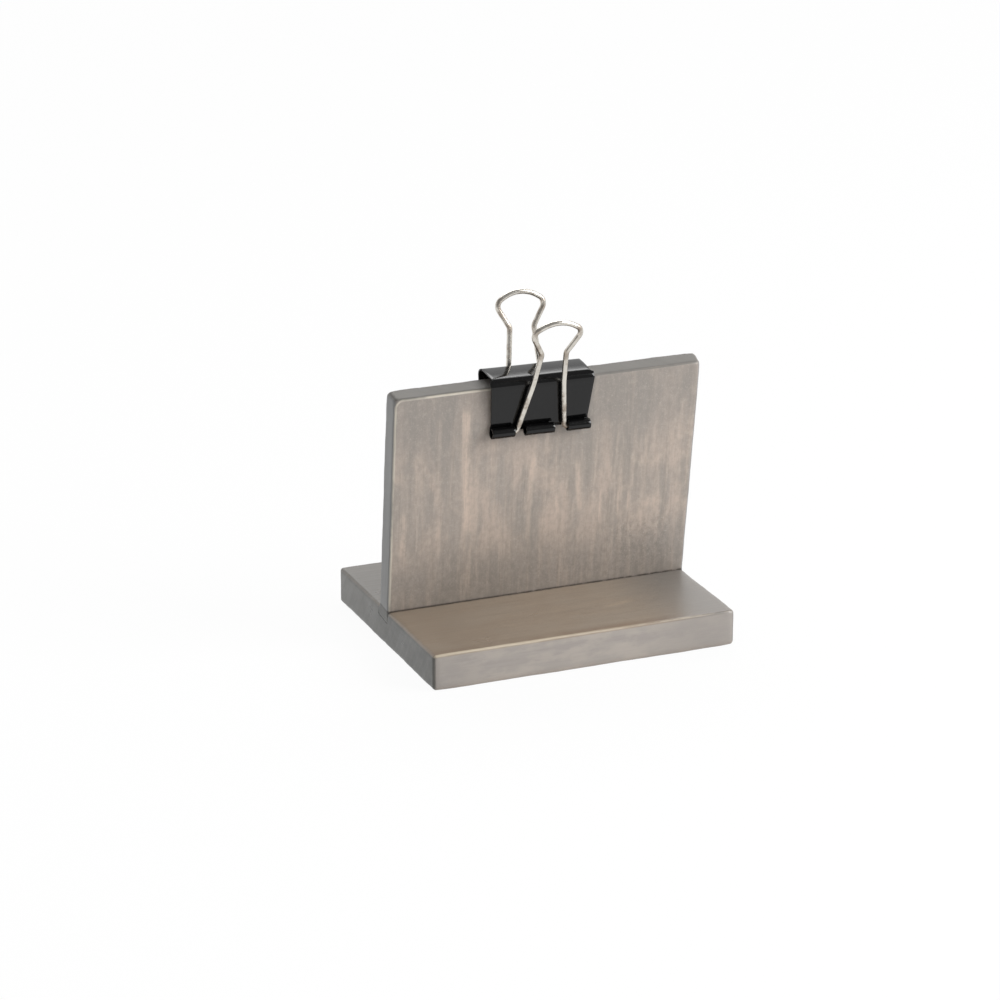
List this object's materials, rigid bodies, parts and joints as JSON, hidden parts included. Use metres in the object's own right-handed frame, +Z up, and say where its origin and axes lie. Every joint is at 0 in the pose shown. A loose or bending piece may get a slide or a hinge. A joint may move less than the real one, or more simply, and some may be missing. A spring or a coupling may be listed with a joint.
{
  "type": "place card holder",
  "caption": "Place card holder: a wooden panel leaning in a grooved wooden base, with a spring clip that has folding wire handles gripping the panel's top edge.",
  "frame": {"origin": "middle of the base plank's underside", "axes": "+Z up, X along the panel, -Y toward the front, the side that the panel leans toward"},
  "size_m": [0.0986, 0.078, 0.1035],
  "materials": {
    "base_wood": "sanded pine plank with a brown-grey wash, open grain and paler worn edges",
    "panel_wood": "sanded pine board with a grey wash, upright grain and pinkish streaks",
    "screw_zinc": "zinc-plated steel",
    "clip_enamel": "glossy black enamel on spring steel sheet",
    "handle_wire": "bright nickel-plated steel wire"
  },
  "bodies": {
    "stand": {"base_plank": "base_wood", "upright_panel": "panel_wood", "panel_screws": "screw_zinc"},
    "clip": {"clip_body": "clip_enamel"},
    "front_handle": {"front_handle": "handle_wire"},
    "rear_handle": {"rear_handle": "handle_wire"}
  },
  "joints": [
    {"name": "clip_slide", "type": "slide", "parent": "stand", "child": "clip", "axis": [0, -0.1132, 0.9936], "range_m": [-0.0013, 0.02]},
    {"name": "front_handle_fold", "type": "hinge", "parent": "clip", "child": "front_handle", "pos_m": [-0.00245, -0.00984, 0.06522], "axis": [0.9998, 0.0024, -0.0208], "range_deg": [-3, 168]},
    {"name": "rear_handle_fold", "type": "hinge", "parent": "clip", "child": "rear_handle", "pos_m": [-0.00245, 0.0004, 0.06638], "axis": [-0.9998, -0.0024, 0.0208], "range_deg": [-8.5, 162]}
  ]
}
